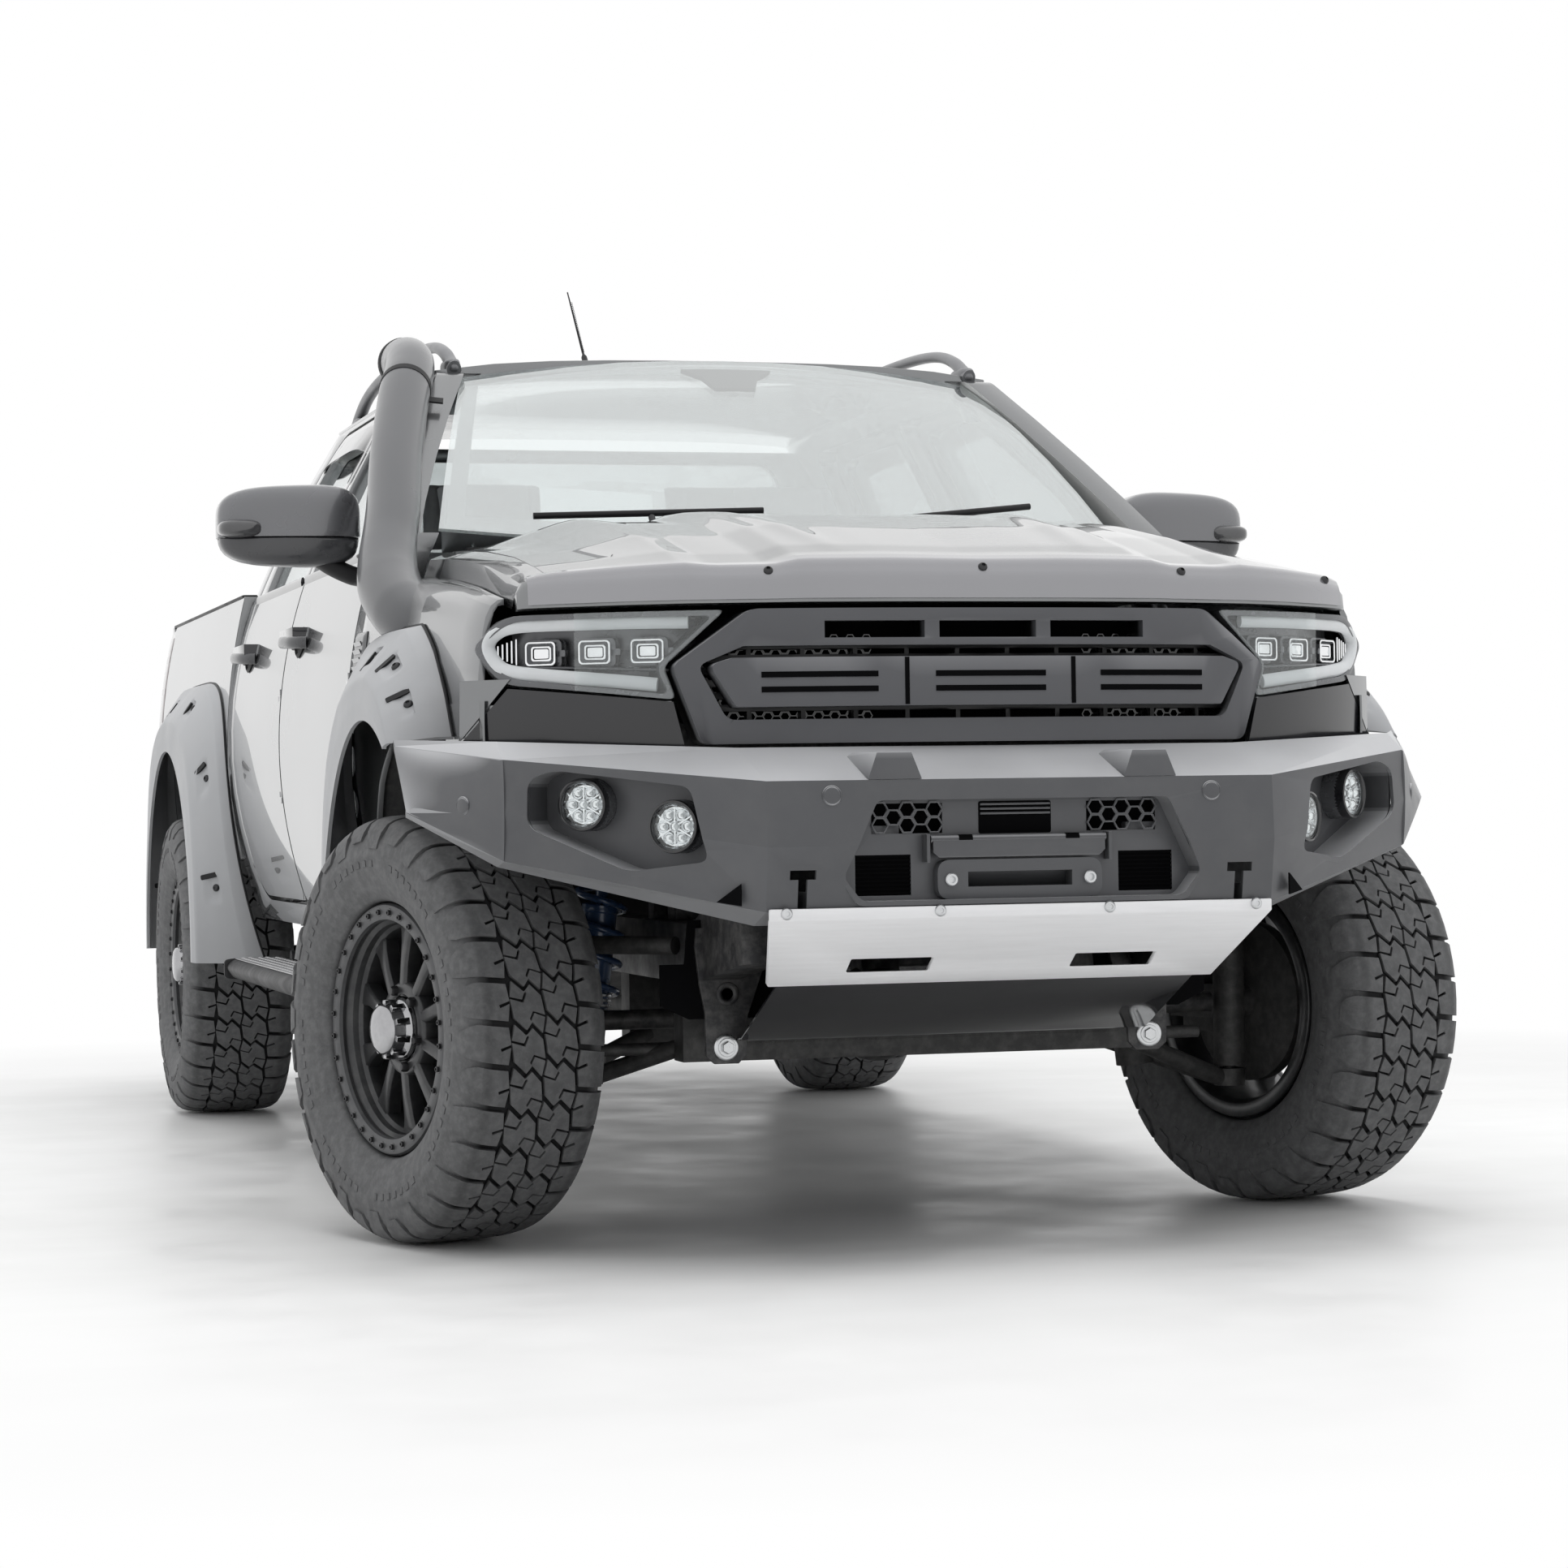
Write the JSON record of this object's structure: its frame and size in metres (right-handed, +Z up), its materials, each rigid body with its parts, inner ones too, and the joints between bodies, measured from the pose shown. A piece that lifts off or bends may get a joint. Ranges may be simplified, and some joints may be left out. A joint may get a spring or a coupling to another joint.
{
  "type": "double cab pickup truck",
  "caption": "Double-cab pickup with folded-steel winch bumper, pocket wheel flares, pillar air intake, roof rails, side steps and an open load bed.",
  "frame": {"origin": "on the ground, under the middle of the vehicle's length and width", "axes": "+Z up, +X the vehicle's left, nose towards -Y"},
  "size_m": [2.2516, 5.4, 2.037],
  "materials": {
    "body_paint": "clear-coated metallic grey",
    "clear_glass": "clear glass",
    "tyre_rubber": "matt rubber",
    "rim_black": "satin black",
    "flare_grey": "satin grey",
    "bar_grey": "satin dark grey powder coat",
    "trim_grey": "dark grey satin",
    "bright_plate": "bright brushed",
    "lamp_chrome": "bright reflector",
    "lamp_red": "red lens",
    "seat_fabric": "woven dark grey",
    "black_plastic": "textured black",
    "damper_blue": "blue coil paint",
    "black_steel": "textured black powder coat",
    "chassis_steel": "black underbody paint"
  },
  "bodies": {
    "truck": {"chassis": "chassis_steel", "engine": "chassis_steel", "front_suspension": "chassis_steel", "dampers": "damper_blue", "rear_axle": "chassis_steel", "leaf_springs": "chassis_steel", "driveline": "chassis_steel", "underbody": "chassis_steel", "cab_floor": "chassis_steel", "cab_sides": "body_paint", "cab_roof": "body_paint", "cab_back": "body_paint", "bulkhead": "chassis_steel", "dashboard": "black_plastic", "seats": "seat_fabric", "screens": "clear_glass", "front_wings": "body_paint", "arch_liners": "black_plastic", "wheel_flares": "flare_grey", "load_bed": "body_paint", "grille": "trim_grey", "front_lamps": "lamp_chrome", "lamp_lenses": "clear_glass", "front_bumper": "bar_grey", "winch": "black_steel", "skid_plate": "bright_plate", "under_guard": "black_plastic", "snorkel": "black_plastic", "roof_rails": "trim_grey", "wipers": "black_plastic", "side_steps": "black_steel", "rear_bumper": "bar_grey", "tail_lamps": "lamp_red"},
    "bonnet": {"bonnet": "body_paint"},
    "tailgate": {"tailgate": "body_paint"},
    "door_front_right": {"door_front_right": "body_paint", "glass_front_right": "clear_glass", "mirror_right": "trim_grey"},
    "wheel_front_right": {"rim_front_right": "rim_black", "tyre_front_right": "tyre_rubber"},
    "door_front_left": {"door_front_left": "body_paint", "glass_front_left": "clear_glass", "mirror_left": "trim_grey"},
    "wheel_front_left": {"rim_front_left": "rim_black", "tyre_front_left": "tyre_rubber"},
    "door_rear_right": {"door_rear_right": "body_paint", "glass_rear_right": "clear_glass"},
    "wheel_rear_right": {"rim_rear_right": "rim_black", "tyre_rear_right": "tyre_rubber"},
    "door_rear_left": {"door_rear_left": "body_paint", "glass_rear_left": "clear_glass"},
    "wheel_rear_left": {"rim_rear_left": "rim_black", "tyre_rear_left": "tyre_rubber"},
    "knuckle_right": {"knuckle_right": "chassis_steel"},
    "knuckle_left": {"knuckle_left": "chassis_steel"}
  },
  "joints": [
    {"name": "door_front_right_hinge", "type": "hinge", "parent": "truck", "child": "door_front_right", "pos_m": [-0.914, -1.136, 0.96], "axis": [0, 0, 1], "range_deg": [0, 65]},
    {"name": "door_front_left_hinge", "type": "hinge", "parent": "truck", "child": "door_front_left", "pos_m": [0.914, -1.136, 0.96], "axis": [0, 0, -1], "range_deg": [0, 65]},
    {"name": "door_rear_right_hinge", "type": "hinge", "parent": "truck", "child": "door_rear_right", "pos_m": [-0.914, -0.13075, 0.96], "axis": [0, 0, 1], "range_deg": [0, 65]},
    {"name": "door_rear_left_hinge", "type": "hinge", "parent": "truck", "child": "door_rear_left", "pos_m": [0.914, -0.13075, 0.96], "axis": [0, 0, -1], "range_deg": [0, 65]},
    {"name": "bonnet_hinge", "type": "hinge", "parent": "truck", "child": "bonnet", "pos_m": [0, -1.398, 1.305], "axis": [-1, 0, 0], "range_deg": [0, 50]},
    {"name": "tailgate_hinge", "type": "hinge", "parent": "truck", "child": "tailgate", "pos_m": [0, 2.424, 0.821], "axis": [-1, 0, 0], "range_deg": [0, 88]},
    {"name": "steer_right", "type": "hinge", "parent": "truck", "child": "knuckle_right", "pos_m": [-0.74, -1.8, 0.4], "axis": [0, 0, 1], "range_deg": [-50, 16]},
    {"name": "steer_left", "type": "hinge", "parent": "truck", "child": "knuckle_left", "pos_m": [0.74, -1.8, 0.4], "axis": [0, 0, 1], "range_deg": [-50, 16]},
    {"name": "wheel_front_right_spin", "type": "hinge", "parent": "knuckle_right", "child": "wheel_front_right", "pos_m": [-0.86241, -1.83742, 0.4], "axis": [0.9563, 0.2924, 0], "continuous": true},
    {"name": "wheel_front_left_spin", "type": "hinge", "parent": "knuckle_left", "child": "wheel_front_left", "pos_m": [0.86241, -1.76258, 0.4], "axis": [0.9563, 0.2924, 0], "continuous": true},
    {"name": "wheel_rear_right_spin", "type": "hinge", "parent": "truck", "child": "wheel_rear_right", "pos_m": [-0.868, 1.42, 0.4], "axis": [1, 0, 0], "continuous": true},
    {"name": "wheel_rear_left_spin", "type": "hinge", "parent": "truck", "child": "wheel_rear_left", "pos_m": [0.868, 1.42, 0.4], "axis": [1, 0, 0], "continuous": true}
  ],
  "couplings": [
    {"joint": "steer_left", "follows": "steer_right", "ratio": 1}
  ]
}
